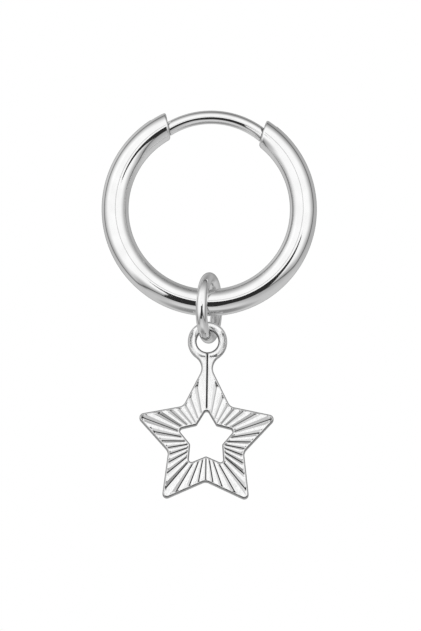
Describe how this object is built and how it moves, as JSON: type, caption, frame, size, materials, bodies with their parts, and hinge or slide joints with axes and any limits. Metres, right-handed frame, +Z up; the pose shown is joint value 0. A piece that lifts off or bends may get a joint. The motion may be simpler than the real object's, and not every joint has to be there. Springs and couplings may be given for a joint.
{
  "type": "hoop charm earring",
  "caption": "Polished steel hinged hoop earring with a thin ear wire, a jump ring and a pierced star charm with radiating cut rays.",
  "frame": {"origin": "middle of the ear wire at its highest point, where the earring hangs in the ear", "axes": "+Z up, -Y towards the front of the star, +X to the hinge side; the hoop lies in the XZ plane"},
  "size_m": [0.016, 0.0052, 0.0291],
  "materials": {
    "hoop_steel": "mirror polished stainless steel",
    "pin_steel": "polished stainless steel",
    "wire_steel": "mirror polished stainless steel",
    "ring_steel": "mirror polished stainless steel",
    "charm_steel": "polished cast stainless steel with cut rays"
  },
  "bodies": {
    "hoop": {"hoop_tube": "hoop_steel", "hinge_pin": "pin_steel"},
    "ear_wire": {"ear_wire": "wire_steel"},
    "jump_ring": {"jump_ring": "ring_steel"},
    "charm": {"star_charm": "charm_steel"}
  },
  "joints": [
    {"name": "ear_wire_hinge", "type": "hinge", "parent": "hoop", "child": "ear_wire", "pos_m": [0.00448, 0, -0.0008], "axis": [0, 1, 0], "range_deg": [0, 90]},
    {"name": "ring_swing", "type": "hinge", "parent": "hoop", "child": "jump_ring", "pos_m": [0, 0, -0.01392], "axis": [1, 0, 0], "range_deg": [-90, 90]},
    {"name": "charm_swing", "type": "hinge", "parent": "jump_ring", "child": "charm", "pos_m": [0, 0, -0.01654], "axis": [0.2504, 0.9681, 0], "range_deg": [-75, 75]}
  ]
}
